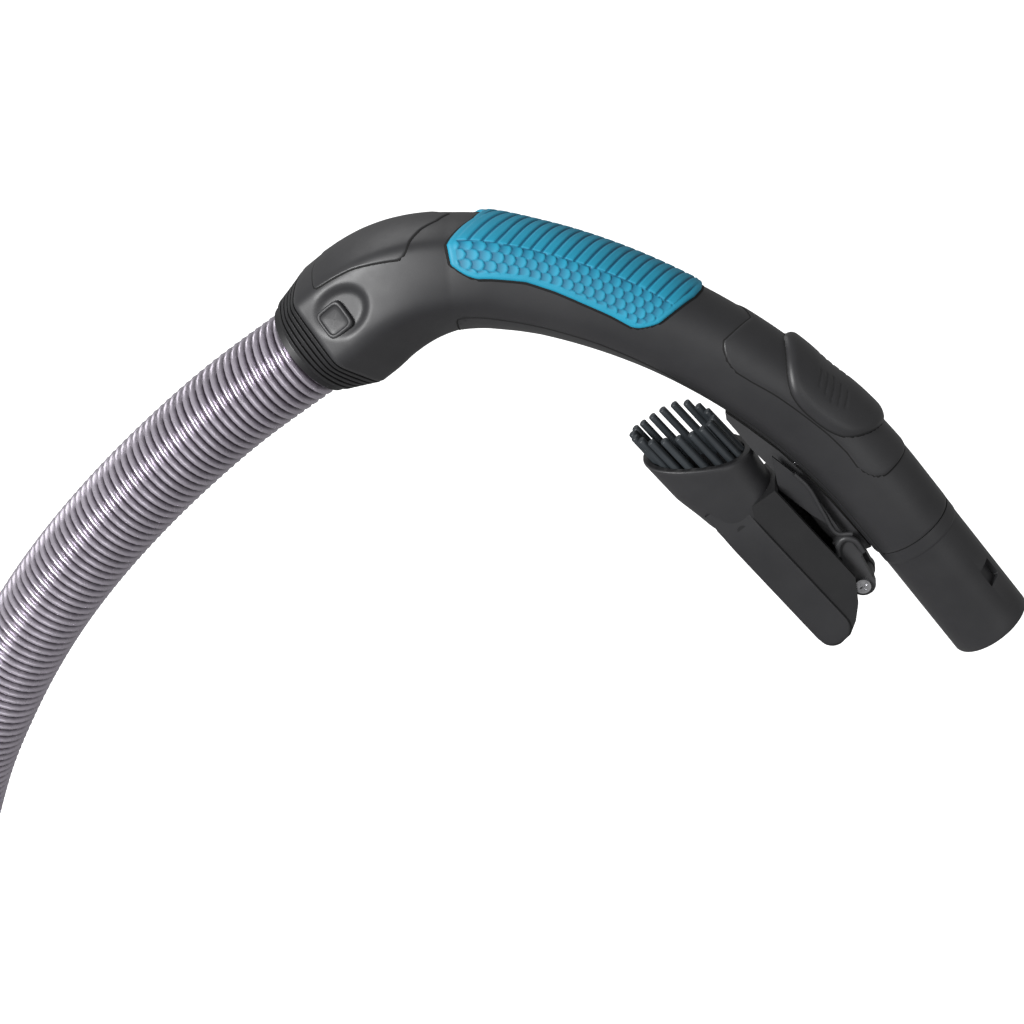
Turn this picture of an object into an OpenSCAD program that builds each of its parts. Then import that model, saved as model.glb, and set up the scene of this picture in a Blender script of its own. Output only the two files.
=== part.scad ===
// Vacuum cleaner hose handle: bent grip with a wand spigot, suction slider, swivelling hose
// and a dusting brush carried under the wand end. Millimetres, +Z up.
// Origin: centre of the open end of the wand spigot. +X points towards that end.

/* [Wand spigot] */
// Outside diameter of the spigot that takes the wand
wand_d = 36; // [34:0.5:38]
// Inside diameter of the spigot
wand_bore_d = 30.8; // [29:0.2:32]
// Exposed length of the spigot
spigot_len = 60; // [50:1:70]
// Slope of the spigot below the horizontal, in degrees
wand_slope = 52; // [45:0.1:60]

/* [Handle] */
// Straight run of the handle axis from the spigot's end to the bend
straight_len = 81; // [80:1:95]
// Radius of the long bend through the grip
grip_bend_r = 249; // [230:1:265]
// Angle of the long bend
grip_bend_a = 44; // [42:0.1:48]
// Radius of the short bend at the head
head_bend_r = 69; // [62:1:74]
// Angle of the short bend
head_bend_a = 50; // [46:0.1:52]
// Straight run at the head, up to the collar
head_len = 15; // [14:1:18]
// Wall of the shells
wall = 2; // [1.6:0.1:2.2]
// Half angle of the underside strip about the bottom of the section
strip_half = 54; // [40:1:58]

/* [Grip pad] */
// Where the pad starts, along the handle axis
pad_start = 209; // [200:1:215]
// Where the pad ends
pad_end = 289; // [270:1:291]
// Half angle that the pad wraps about the top
pad_half = 76; // [60:1:80]
// How far the pad stands out of the shell
pad_thick = 1.8; // [1.6:0.1:3]

/* [Suction slider] */
// Where the raised plate starts, along the handle axis
plate_start = 94; // [88:1:98]
// Where the raised plate ends
plate_end = 178; // [172:1:182]
// Half angle of the plate
plate_half = 74; // [60:1:78]
// Height of the plate above the shell
plate_rise = 0.9; // [0.7:0.1:1.1]
// Length of the thumb knob
knob_len = 54; // [50:1:56]
// Middle of the knob along the handle axis
knob_at = 132; // [130:1:134]
// Half angle that the knob wraps about the top
knob_half = 64; // [50:1:68]
// Height of the knob above the plate
knob_rise = 2.9; // [2.6:0.1:3.4]

/* [Hose end] */
// Length of the ribbed collar
collar_len = 13; // [11:1:15]
// Number of ribs on the collar
collar_ribs = 5; // [4:1:6]
// Radius of the swivel cuff where it turns in the collar
cuff_r = 20; // [19.6:0.1:20.4]
// Outside diameter of the corrugated hose
hose_d = 40; // [38:0.5:42]
// Release button size, square
button_size = 13; // [11:0.5:14]

/* [Brush] */
// Pivot of the brush carrier, along the spigot axis from its end
pivot_at = 51; // [50:1:53]
// Depth of that pivot below the spigot axis
pivot_drop = 31; // [30:0.5:32]
// Length of the brush body
tool_len = 76; // [72:1:80]
// Width of the brush body
tool_w = 30; // [28:1:32]
// Number of bristle tufts in the oval ring
tufts = 18; // [12:1:20]

/* [Hidden] */
$fn = 48;

dark = "#434346";
black = "#1c1c1e";
blue = "#2aa0c4";
silver = "#a9a5b0";

// ---- handle axis, in the spigot's frame: x along the axis away from the open end,
// ---- y towards the near side, z towards the outside of the bend
grip_arc = grip_bend_r * grip_bend_a * PI / 180;
head_arc = head_bend_r * head_bend_a * PI / 180;
grip_end = straight_len + grip_arc;
head_start = grip_end + head_arc;
collar_at = head_start + head_len;
turn_a = grip_bend_a + head_bend_a;
grip_c = [straight_len, -grip_bend_r];
head_c = grip_c + (grip_bend_r - head_bend_r) * [sin(grip_bend_a), cos(grip_bend_a)];

// Angle turned by the axis at distance s
function bend(s) =
  s <= straight_len ? 0 :
  s <= grip_end ? (s - straight_len) / grip_bend_r * 180 / PI :
  s <= head_start ? grip_bend_a + (s - grip_end) / head_bend_r * 180 / PI : turn_a;

function out_dir(s) = [sin(bend(s)), cos(bend(s))];
function fwd_dir(s) = [cos(bend(s)), -sin(bend(s))];

// Point of the axis at distance s
function axis_pt(s) =
  s <= straight_len ? [s, 0] :
  s <= grip_end ? grip_c + grip_bend_r * out_dir(s) :
  s <= head_start ? head_c + head_bend_r * out_dir(s) :
  head_c + head_bend_r * out_dir(s) + (s - head_start) * fwd_dir(s);

module spigot_frame() { rotate([0, wand_slope, 0]) rotate([0, 0, 180]) children(); }

// Children drawn at distance s, with x along the axis towards the hose and z outside the bend
module at_axis(s) {
  p = axis_pt(s);
  spigot_frame() translate([p[0], 0, p[1]]) rotate([0, bend(s), 0]) children();
}

// ---- section of the handle: an oval at the spigot, a soft faceted form at the head
half_width = [[60, 18.6], [100, 19.2], [150, 19.8],
  [200, 20.6], [250, 21.4], [290, 23], [325, 26], [350, 27]];
top_height = [[60, 18.4], [100, 18.5], [150, 18.9], [200, 19.4],
  [250, 21.2], [290, 21.4], [320, 25], [350, 27]];
low_height = [[60, 18.7], [100, 19], [150, 19.4], [200, 19.2],
  [250, 19.4], [290, 22.8], [320, 26.4], [350, 28.4]];
facet_mix = [[60, 0], [150, 0], [200, 0.15], [260, 0.35], [285, 0.6], [312, 0.9], [337, 1], [350, 1]];
facet_p = 16;

// Facets at the head: direction and distance of each
facets = [[81, 26.8], [99, 26.8], [21, 27], [159, 27], [-40, 26.6], [220, 26.6], [270, 28.4]];
ones = [for (f = facets) 1];
function facet_r(a, k) =
  k * pow([for (f = facets) pow(max(0, cos(a - f[0])) / f[1], facet_p)] * ones, -1 / facet_p);
function oval_r(a, w, h) = 1 / sqrt(pow(cos(a) / w, 2) + pow(sin(a) / h, 2));
function head_scale(s) = lookup(s, [[200, 0.82], [250, 0.85], [290, 0.86], [320, 0.96], [337, 1], [350, 1]]);
function skin_r(s, a) =
  (1 - lookup(s, facet_mix)) *
    oval_r(a, lookup(s, half_width), lookup(s, sin(a) > 0 ? top_height : low_height))
  + lookup(s, facet_mix) * facet_r(a, head_scale(s));

// Point at distance s, angle a about the axis (90 is the outside), lift outside the skin
function skin_pt(s, a, lift) =
  let (r = skin_r(s, a) + lift, p = axis_pt(s), o = out_dir(s))
  [p[0] + r * sin(a) * o[0], r * cos(a), p[1] + r * sin(a) * o[1]];

// Closed patch of the skin between two distances and two angles, from lift lo to lift hi.
// slant shifts its ends along the axis towards the top of the section.
module skin_patch(s0, s1, a0, a1, lo, hi, ns, na, slant = 0) {
  function st(i, j) =
    s0 + (s1 - s0) * i / ns - slant * (sin(a0 + (a1 - a0) * j / na) - sin(a0));
  function an(j) = a0 + (a1 - a0) * j / na;
  n = na + 1;
  layer = (ns + 1) * n;
  pts = concat(
    [for (i = [0 : ns], j = [0 : na]) skin_pt(st(i, j), an(j), hi)],
    [for (i = [0 : ns], j = [0 : na]) skin_pt(st(i, j), an(j), lo)]);
  top = [for (i = [0 : ns - 1], j = [0 : na - 1])
    [i * n + j, i * n + j + 1, i * n + n + j + 1, i * n + n + j]];
  low = [for (f = top) [f[3] + layer, f[2] + layer, f[1] + layer, f[0] + layer]];
  side_a = [for (i = [0 : ns - 1]) [i * n, i * n + n, layer + i * n + n, layer + i * n]];
  side_b = [for (i = [0 : ns - 1])
    [i * n + na + n, i * n + na, layer + i * n + na, layer + i * n + na + n]];
  end_a = [for (j = [0 : na - 1]) [j + 1, j, layer + j, layer + j + 1]];
  end_b = [for (j = [0 : na - 1])
    [ns * n + j, ns * n + j + 1, layer + ns * n + j + 1, layer + ns * n + j]];
  spigot_frame() polyhedron(pts, concat(top, low, side_a, side_b, end_a, end_b), convexity = 8);
}

// Arc of a round tube about a bend of the handle axis
module bend_tube(c, r, a0, a1, ro, ri) {
  spigot_frame() translate([c[0], 0, c[1]]) rotate([0, a0 - 90, 0]) rotate([90, 0, 0])
    rotate([0, 0, -(a1 - a0)]) rotate_extrude(angle = a1 - a0, $fn = 180)
      translate([r, 0]) difference() {
        circle(ro, $fn = 40);
        circle(ri, $fn = 40);
      }
}

// ---- fixed handle parts
duct_r = 16.6;
duct_bore_r = 15.2;

module wand_tube() {
  color(dark) spigot_frame() rotate([0, 90, 0]) difference() {
    union() {
      cylinder(h = spigot_len, r = wand_d / 2, $fn = 96);
      cylinder(h = straight_len, r = duct_r - 0.5, $fn = 96);
    }
    translate([0, 0, -1]) cylinder(h = straight_len + 2, r = wand_bore_d / 2, $fn = 96);
    // latch window on the near side and a twin on the far side
    for (side = [-1, 1]) translate([0, side * wand_d / 2, 17]) cube([8, 8, 9], center = true);
  }
}

module air_duct() {
  color(dark) {
    bend_tube(grip_c, grip_bend_r, 0, grip_bend_a, duct_r, duct_bore_r);
    bend_tube(head_c, head_bend_r, grip_bend_a, turn_a, duct_r, duct_bore_r);
  }
}

button_at = collar_at - 11.5;
button_tilt = 21;
button_gap = 0.35;

// Frame on a side facet of the head, side 1 near and -1 far: z is the facet's outward normal
module button_frame(side) {
  at_axis(button_at) rotate([-side * (90 - button_tilt), 0, 0]) children();
}

screw_at = [168, 228, 288];

module upper_shell() {
  color(dark) difference() {
    skin_patch(spigot_len + 0.3, collar_at, -90 + strip_half, 270 - strip_half, -wall, 0, 30, 30);
    for (side = [-1, 1]) button_frame(side) translate([0, 0, 27])
      cube([button_size + 2 * button_gap, button_size + 2 * button_gap, 12], center = true);
  }
}

module lower_shell() {
  color(dark) difference() {
    skin_patch(spigot_len + 0.3, collar_at, 270 - strip_half + 0.6, 270 + strip_half - 0.6, -2.2, 0, 30, 8);
    for (s = screw_at) at_axis(s) mirror([0, 0, 1]) {
      translate([0, 0, 15]) cylinder(h = 12, r = 1.5);
      translate([0, 0, lookup(s, low_height) - 1.2]) cylinder(h = 6, r = 2.6);
    }
  }
}

module top_cover() {
  color(dark) skin_patch(collar_at - 43, collar_at - 15, 90 - 46, 90 + 46, 0.35, 1, 10, 20, 20);
}

module grip_pad() {
  color(blue) skin_patch(pad_start, pad_end, 90 - pad_half, 90 + pad_half, 0.05, pad_thick, 16, 18, 12);
}

shell_top = 19;
plate_top = 19.8;
stem_half = 7;
slider_travel = 11;
slot_half = 3.4;
knob_gap = 0.6;
dish_r = 50;
slot_shift = slider_travel / 2 - 2;

module slider_plate() {
  color(dark) difference() {
    skin_patch(plate_start, plate_end, 90 - plate_half, 90 + plate_half, 0.05, plate_rise, 14, 16, 6);
    // slot of the knob's stem
    at_axis(knob_at + slot_shift) translate([0, 0, shell_top])
      cube([2 * stem_half + slider_travel + 5.2, 2 * slot_half, 12], center = true);
  }
}

module air_slider() {
  color(dark) difference() {
    skin_patch(knob_at - knob_len / 2, knob_at + knob_len / 2, 90 - knob_half, 90 + knob_half,
      plate_rise + knob_gap, plate_rise + knob_rise, 9, 14);
    // thumb dish across the top
    at_axis(knob_at) translate([4, 0, plate_top + knob_rise + dish_r - 1.2]) rotate([90, 0, 0])
      cylinder(h = 60, r = dish_r, center = true, $fn = 120);
  }
}

// Block under the knob that closes the slot as it slides
module slider_shutter() {
  color(black) at_axis(knob_at) translate([0, 0, plate_top - 0.3])
    cube([2 * stem_half, 2 * slot_half - 1.2, 0.7], center = true);
}

module slider_detent() {
  color("silver") at_axis(knob_at - stem_half - 1.7) translate([0, 0, shell_top + 0.2])
    cube([2.4, 4, 0.5], center = true);
}

// ---- hose end of the handle
// Solid skinned through rings of equal point counts, closed by flat ends
module skinned(rings) {
  n = len(rings[0]);
  m = len(rings);
  sides = [for (i = [0 : m - 2], j = [0 : n - 1])
    [i * n + j, i * n + (j + 1) % n, i * n + n + (j + 1) % n, i * n + n + j]];
  cap_a = [[for (j = [n - 1 : -1 : 0]) j]];
  cap_b = [[for (j = [0 : n - 1]) (m - 1) * n + j]];
  polyhedron([for (r = rings, p = r) p], concat(sides, cap_a, cap_b), convexity = 6);
}

collar_sides = 36;
collar_tip_r = 23.4;
function collar_ring(t, groove) = [for (j = [0 : collar_sides - 1])
  let (a = -j * 360 / collar_sides, r = (1 - t) * skin_r(collar_at, a) + t * collar_tip_r - 0.3 - groove)
  [collar_len * t, r * cos(a), r * sin(a)]];

module end_collar() {
  step = 1 / (2 * collar_ribs);
  color(black) at_axis(collar_at) difference() {
    skinned([for (i = [0 : 2 * collar_ribs]) collar_ring(i * step, i % 2 == 0 ? 1 : 0)]);
    translate([-1, 0, 0]) rotate([0, 90, 0])
      cylinder(h = collar_len + 2, r = cuff_r + 0.06, $fn = 96);
  }
}

ring_groove = 1.2;

module swivel_cuff() {
  color(black) at_axis(collar_at) rotate([0, 90, 0]) difference() {
    union() {
      translate([0, 0, -12]) cylinder(h = 12 + collar_len + 1, r = cuff_r, $fn = 96);
      translate([0, 0, collar_len + 0.3]) cylinder(h = 2.7, r = cuff_r + 1.6, $fn = 96);
    }
    translate([0, 0, -13]) cylinder(h = 16 + collar_len + 1, r = 17.2, $fn = 96);
    translate([0, 0, -2.2]) difference() {
      cylinder(h = 1.8, r = cuff_r + 2, $fn = 96);
      translate([0, 0, -1]) cylinder(h = 4, r = cuff_r - ring_groove, $fn = 96);
    }
  }
}

module retaining_ring() {
  color("silver") at_axis(collar_at) rotate([0, 90, 0]) translate([0, 0, -2.1]) difference() {
    cylinder(h = 1.6, r = cuff_r + 1.6, $fn = 72);
    translate([0, 0, -1]) cylinder(h = 4, r = cuff_r - ring_groove + 0.05, $fn = 72);
    translate([0, cuff_r, 0]) cube([5, 8, 8], center = true);
  }
}

module cuff_seal() {
  color(black) at_axis(collar_at) rotate([0, 90, 0]) translate([0, 0, -14.9]) difference() {
    cylinder(h = 2.6, r = 18.6, $fn = 72);
    translate([0, 0, -1]) cylinder(h = 5, r = 15.6, $fn = 72);
  }
}

module rounded_square(size, r) {
  for (a = [0, 90]) rotate(a) square([size, size - 2 * r], center = true);
  for (x = [-1, 1], y = [-1, 1]) translate([x, y] * (size / 2 - r)) circle(r, $fn = 32);
}

module hose_button(side) {
  color(dark) button_frame(side) {
    translate([0, 0, 24.3]) linear_extrude(3.1) rounded_square(button_size, 2.5);
    translate([0, 0, 23.1]) linear_extrude(1.2) rounded_square(button_size + 2, 2.5);
  }
}

module hose_button_near() { hose_button(1); }
module hose_button_far() { hose_button(-1); }

// Folded leaf spring between the air duct and the back of a button
module button_spring(side) {
  fold = 1.4;
  color("silver") button_frame(side) translate([-5.8, 2, 17.1]) rotate([90, 0, 0]) linear_extrude(4)
    for (i = [0 : 3]) {
      translate([-2, i * fold]) square([4, 0.4]);
      translate([i % 2 == 0 ? 1.6 : -2, i * fold]) square([0.4, fold + 0.4]);
    }
}

module button_spring_near() { button_spring(1); }
module button_spring_far() { button_spring(-1); }

module shell_screws() {
  color("silver") for (s = screw_at) at_axis(s) mirror([0, 0, 1]) difference() {
    union() {
      translate([0, 0, 17]) cylinder(h = lookup(s, low_height) - 18, r = 1.3);
      translate([0, 0, lookup(s, low_height) - 1.1]) cylinder(h = 0.9, r = 2.4);
    }
    for (a = [0, 90]) translate([0, 0, lookup(s, low_height)]) rotate(a)
      cube([3, 0.6, 1.2], center = true);
  }
}

// ---- brush carrier, in the spigot's frame
tool_tilt = 3.6;
ear_gap = 4.5;
ear_out = 8;

module pivot_frame() { spigot_frame() translate([pivot_at, 0, -pivot_drop]) children(); }
module tool_frame() { pivot_frame() rotate([0, tool_tilt, 0]) children(); }
// Children drawn in the x-z plane become a plate of thickness t centred on y
module side_plate(t) { rotate([90, 0, 0]) linear_extrude(t, center = true) children(); }

module tool_bracket() {
  color(dark) spigot_frame() difference() {
    union() {
      side_plate(7) polygon([[62, -19.2], [75, -19.7], [90, -20.4], [105, -21.6], [122, -24.2],
        [139, -28.6], [150, -31.8], [147, -33.4], [130, -33], [112, -31], [80, -31], [64, -29]]);
      side_plate(2 * ear_out) polygon([[63, -23], [75, -23], [75, -30], [63, -30]]);
      for (y = [-1, 1]) translate([0, y * (ear_gap + ear_out) / 2, 0])
        side_plate(ear_out - ear_gap) {
          translate([pivot_at, -pivot_drop]) circle(5.5, $fn = 40);
          polygon([[pivot_at + 1, -pivot_drop + 5.3], [66, -23.5], [70, -30],
            [pivot_at + 1, -pivot_drop - 5.3]]);
        }
    }
    translate([pivot_at, 0, -pivot_drop]) rotate([90, 0, 0])
      cylinder(h = 30, r = 2.05, center = true);
    for (x = [70, 112]) translate([x, 0, -24]) {
      translate([0, 0, -20]) cylinder(h = 30, r = 1.4);
      translate([0, 0, -20]) cylinder(h = 14.6, r = 2.6);
    }
  }
}

module bracket_screws() {
  color("silver") spigot_frame() for (x = [70, 112]) translate([x, 0, -24]) {
    translate([0, 0, -5.8]) cylinder(h = x == 70 ? 10 : 7.4, r = 1.35);
    translate([0, 0, -6.9]) cylinder(h = 1.45, r = 2.4);
  }
}

module pivot_screw() {
  color("silver") pivot_frame() rotate([90, 0, 0]) mirror([0, 0, 1]) difference() {
    union() {
      translate([0, 0, -ear_out - 3]) cylinder(h = 2 * ear_out + 3.2, r = 2);
      translate([0, 0, ear_out + 0.05]) cylinder(h = 1.9, r = 3.4);
    }
    for (a = [0, 90]) translate([0, 0, ear_out + 2]) rotate(a) cube([4, 0.9, 1.6], center = true);
  }
}

module pivot_nut() {
  color("silver") pivot_frame() rotate([90, 0, 0]) mirror([0, 0, 1])
    translate([0, 0, -ear_out - 2.8]) difference() {
      cylinder(h = 2.7, r = 3.8, $fn = 6);
      translate([0, 0, -1]) cylinder(h = 5, r = 2.02);
    }
}

module tool_cradle() {
  color(dark) tool_frame() difference() {
    union() {
      side_plate(2 * ear_gap - 0.8) {
        circle(5, $fn = 40);
        polygon([[-3, -3], [4, -3], [12, -9.5], [50, -9.5], [50, -13], [4, -13], [-4, -7]]);
      }
      side_plate(25) polygon([[14, -9.5], [50, -9.5], [50, -13], [14, -13]]);
    }
    rotate([90, 0, 0]) cylinder(h = 30, r = 2.05, center = true);
    // window of the latch
    translate([32, 0, -11]) cube([9, 9, 8], center = true);
  }
}

module cradle_latch() {
  color(dark) tool_frame() side_plate(7)
    polygon([[44.5, -9.4], [48.5, -9.4], [48.5, -5.4], [42, -5.4], [42, -6.6], [44.5, -7.4]]);
}

// Rounded-end oval across the brush, long way along z
module oval(r) {
  for (z = [-1, 1]) translate([z * 3, 0]) circle(r, $fn = 48);
  square([6, 2 * r], center = true);
}
module oval_bar(x0, x1, r) { translate([x0, 0, -17]) rotate([0, 90, 0]) linear_extrude(x1 - x0) oval(r); }

tool_top = 2;
tool_low = -29;
neck_x = tool_len - 14;
rim_slope = 33;
// Everything past the slanted rim, moved back by d
module past_rim(d = 0) {
  translate([90.5 - d, 0, -17]) rotate([0, -rim_slope, 0]) translate([0, -40, -60]) cube([80, 80, 120]);
}

module tool_body() {
  color(dark) tool_frame() difference() {
    union() {
      side_plate(tool_w) {
        polygon([[-14, -23], [-8, tool_low], [neck_x, tool_low], [neck_x, tool_top],
          [8, tool_top], [-3, -5], [-9, -11], [-13, -17]]);
        translate([-8, tool_low + 6]) circle(6, $fn = 40);
      }
      oval_bar(neck_x - 1, 80, 13.2);
      oval_bar(76, 108, 16);
    }
    // hollow, open towards the tube
    side_plate(tool_w - 4) polygon([[-9, -21], [-6, tool_low + 2], [neck_x - 2, tool_low + 2],
      [neck_x - 2, 4], [-9, 4]]);
    // air way through the neck into the bristle cup
    oval_bar(neck_x - 4, 84, 10.4);
    oval_bar(78, 112, 14);
    past_rim();
  }
}

module bristle_holder() {
  color(black) tool_frame() difference() {
    oval_bar(78.1, 104, 13.8);
    oval_bar(76, 106, 10.4);
    past_rim(5);
  }
}

module bristles() {
  color(black) tool_frame() for (i = [0 : tufts - 1]) {
    a = i * 360 / tufts;
    z = -17 + 15.1 * cos(a);
    x = max(79, 90.5 - (z + 17) * tan(rim_slope) - 8);
    tip = 105.5 - (z + 17) / 2;
    translate([x, 12.1 * sin(a), z]) rotate([0, 90, 0]) cylinder(h = tip - x, r = 1.3, $fn = 16);
  }
}

module tool_screw() {
  color("silver") tool_frame() for (y = [-1, 1]) translate([56, y * (tool_w / 2 + 0.05), -20])
    rotate([-90 * y, 0, 0]) cylinder(h = 0.9, r = 2.2);
}

// ---- hose: hanging run, then one loop on the floor, in the row frame
hose_run = [
  [-322, 0, 93], [-348, 0, 68], [-372, 0, 42], [-394, 0, 15], [-413, 0, -12], [-429, 0, -39],
  [-443, 0, -67], [-455, 0, -95], [-464, -1, -123], [-471, -7, -151], [-476, -19, -180],
  [-479, -39, -209], [-480, -65, -237], [-480, -98, -262], [-480, -134, -280],
  [-480, -168, -288], [-480, -200, -290]
];
loop_r = 200;
loop_a = 290;
hose_sides = 12;
collar_pt = axis_pt(collar_at + collar_len + 3);
hose_start = [-collar_pt[0] * cos(wand_slope) + collar_pt[1] * sin(wand_slope), 0,
  collar_pt[0] * sin(wand_slope) + collar_pt[1] * cos(wand_slope)];
hose_path = concat([hose_start], hose_run);

function unit(v) = v / norm(v);
function path_dir(p, i) =
  i == 0 ? -unit([1, 0, tan(turn_a - wand_slope)]) :
  i == len(p) - 1 ? [0, -1, 0] : unit(p[i + 1] - p[i - 1]);
function path_ring(p, i, r) =
  let (d = path_dir(p, i), u = unit(cross(d, [1, 0, 0])), v = cross(d, u))
  [for (k = [0 : hose_sides - 1]) p[i] + r * (cos(k * 360 / hose_sides) * u
    - sin(k * 360 / hose_sides) * v)];

module hose() {
  color(silver) skinned([for (i = [0 : len(hose_path) - 1]) path_ring(hose_path, i, hose_d / 2)]);
}

module loop_frame() { translate([-480 + loop_r, -200, -290]) children(); }

module hose_coil() {
  color(silver) loop_frame() rotate([0, 0, 180]) rotate_extrude(angle = loop_a, $fn = 180)
    translate([loop_r, 0]) circle(hose_d / 2, $fn = 36);
}

module hose_tie() {
  color(black) loop_frame() rotate([0, 0, 330]) translate([loop_r, 0, 0]) rotate([90, 0, 0])
    difference() {
      cylinder(h = 18, r = hose_d / 2 + 1.4, center = true);
      cylinder(h = 20, r = hose_d / 2 + 0.1, center = true);
    }
}

// Children with z along the hose where the loop ends
module loop_end() {
  loop_frame() rotate([0, 0, 180 + loop_a]) translate([loop_r, 0, 0]) rotate([-90, 0, 0]) children();
}

plug_r = 17.5;

module machine_connector() {
  color(black) loop_end() difference() {
    union() {
      cylinder(h = 46, r = 19.9, $fn = 72);
      translate([0, 0, 8]) cylinder(h = 30, r = 19.95, $fn = 72);
      cylinder(h = 80, r = plug_r, $fn = 72);
    }
    translate([0, 0, -1]) cylinder(h = 90, r = 15, $fn = 72);
    translate([0, 0, 66]) difference() {
      cylinder(h = 3, r = 25, $fn = 72);
      translate([0, 0, -1]) cylinder(h = 5, r = plug_r - 1.5, $fn = 72);
    }
  }
}

module connector_seal() {
  color(black) loop_end() translate([0, 0, 67.5]) rotate_extrude($fn = 72)
    translate([plug_r - 0.05, 0]) circle(1.4, $fn = 24);
}

wand_tube();
air_duct();
upper_shell();
lower_shell();
top_cover();
grip_pad();
slider_plate();
air_slider();
slider_shutter();
slider_detent();
end_collar();
swivel_cuff();
retaining_ring();
cuff_seal();
hose_button_near();
hose_button_far();
button_spring_near();
button_spring_far();
shell_screws();
tool_bracket();
bracket_screws();
pivot_screw();
pivot_nut();
tool_cradle();
cradle_latch();
tool_body();
bristle_holder();
bristles();
tool_screw();
hose();
hose_coil();
hose_tie();
machine_connector();
connector_seal();
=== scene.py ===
import math

import bpy
from mathutils import Matrix, Vector


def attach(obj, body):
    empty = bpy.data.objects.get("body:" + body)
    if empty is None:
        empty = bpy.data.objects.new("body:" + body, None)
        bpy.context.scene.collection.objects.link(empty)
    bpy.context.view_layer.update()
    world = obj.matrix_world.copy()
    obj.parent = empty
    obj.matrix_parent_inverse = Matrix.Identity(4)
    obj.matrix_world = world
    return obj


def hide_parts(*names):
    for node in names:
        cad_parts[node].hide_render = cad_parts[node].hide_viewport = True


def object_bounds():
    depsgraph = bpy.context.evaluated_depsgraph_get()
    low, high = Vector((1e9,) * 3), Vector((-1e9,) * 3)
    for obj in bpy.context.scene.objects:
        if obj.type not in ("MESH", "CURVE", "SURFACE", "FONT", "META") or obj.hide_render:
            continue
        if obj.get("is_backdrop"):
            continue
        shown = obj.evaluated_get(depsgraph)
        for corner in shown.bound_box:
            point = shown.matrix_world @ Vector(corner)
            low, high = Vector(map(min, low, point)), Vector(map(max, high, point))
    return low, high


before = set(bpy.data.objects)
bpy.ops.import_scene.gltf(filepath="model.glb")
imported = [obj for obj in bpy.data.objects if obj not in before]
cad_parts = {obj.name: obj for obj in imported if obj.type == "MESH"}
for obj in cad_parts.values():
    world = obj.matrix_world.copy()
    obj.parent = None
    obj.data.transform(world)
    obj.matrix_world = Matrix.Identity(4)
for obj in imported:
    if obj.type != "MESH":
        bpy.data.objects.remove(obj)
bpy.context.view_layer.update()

MM = 0.001
TAU = 2 * math.pi

# Handle axis in the spigot's frame (mm): x away from the open end, y near side, z outside the bend
SLOPE = math.radians(52)
STRAIGHT = 81
GRIP_R, GRIP_A = 249, math.radians(44)
HEAD_R, HEAD_A = 69, math.radians(50)
HEAD_LEN = 15
GRIP_END = STRAIGHT + GRIP_R * GRIP_A
HEAD_START = GRIP_END + HEAD_R * HEAD_A
COLLAR_AT = HEAD_START + HEAD_LEN
COLLAR_LEN = 13
SPIGOT_LEN = 60
SPIGOT_R = 18
SPIGOT_BORE_R = 15.4

# Section of the handle: distance along the axis and half size there (mm)
HALF_WIDTH = [(60, 18.6), (100, 19.2), (150, 19.8), (200, 20.6), (250, 21.4), (290, 23), (325, 26),
              (350, 27)]
TOP_HEIGHT = [(60, 18.4), (100, 18.5), (150, 18.9), (200, 19.4), (250, 21.2), (290, 21.4),
              (320, 25), (350, 27)]
LOW_HEIGHT = [(60, 18.7), (100, 19), (150, 19.4), (200, 19.2), (250, 19.4), (290, 22.8),
              (320, 26.4), (350, 28.4)]
FACET_MIX = [(60, 0), (150, 0), (200, 0.15), (260, 0.35), (285, 0.6), (312, 0.9), (337, 1), (350, 1)]
HEAD_SCALE = [(200, 0.82), (250, 0.85), (290, 0.86), (320, 0.96), (337, 1), (350, 1)]
FACETS = [(81, 26.8), (99, 26.8), (21, 27), (159, 27), (-40, 26.6), (220, 26.6), (270, 28.4)]
FACET_P = 16

# Edges of the skin's panels. Low edges give the angle at a distance, end edges the distance at an
# angle; the angle is 0 on the near side and 90 on top
PAD_LOW = [(200, 4), (213, 4), (225, 9), (237, 12.5), (249, 17), (261, 20), (274, 17), (284, 14),
           (292, 14)]
PAD_HOSE_END = [(0, 281), (14, 284), (30, 289), (49, 290), (73, 286), (90, 283), (118, 281), (140, 285),
                (166, 284), (180, 281)]
PAD_WAND_END = [(0, 211.5), (4, 211), (22, 206), (48, 201), (70, 197), (90, 195), (118, 194), (140, 200),
                (158, 206), (176, 211), (180, 211.5)]
PAD_RIDGE = [(200, 42), (216, 48), (230, 50), (244, 51), (260, 52), (290, 52)]
COVER_LOW = [(290, 45), (306, 41.5), (311, 43.5), (321, 48), (333, 50), (340, 52)]
COVER_GRIP_END = [(0, 304), (40, 305), (48, 302.8), (58, 301.4), (74, 298.5), (90, 294), (112, 291),
                  (125, 297), (135, 303), (180, 304)]
PLATE_LOW = [(90, 9), (99, 9), (112, 14.5), (123, 15.3), (137, 14), (151, 13), (162, 10.5), (180, 10.5)]
STRIP_EDGE = [(60, -50), (178, -50), (200, -44), (225, -36), (260, -33), (292, -33)]


def mix(a, b, t):
    return a + (b - a) * t


def step(lo, hi, t):
    t = min(1.0, max(0.0, (t - lo) / (hi - lo)))
    return t * t * (3 - 2 * t)


def lookup(t, rows):
    """Value at t, from (position, value) rows in order of position."""
    for (t0, v0), (t1, v1) in zip(rows, rows[1:]):
        if t <= t1:
            return mix(v0, v1, min(1.0, max(0.0, (t - t0) / (t1 - t0))))
    return rows[-1][1]


def row(x, y, z):
    """A point or a vector of the spigot's frame, turned into the row frame."""
    c, s = math.cos(SLOPE), math.sin(SLOPE)
    return Vector((-x * c + z * s, -y, x * s + z * c))


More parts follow.
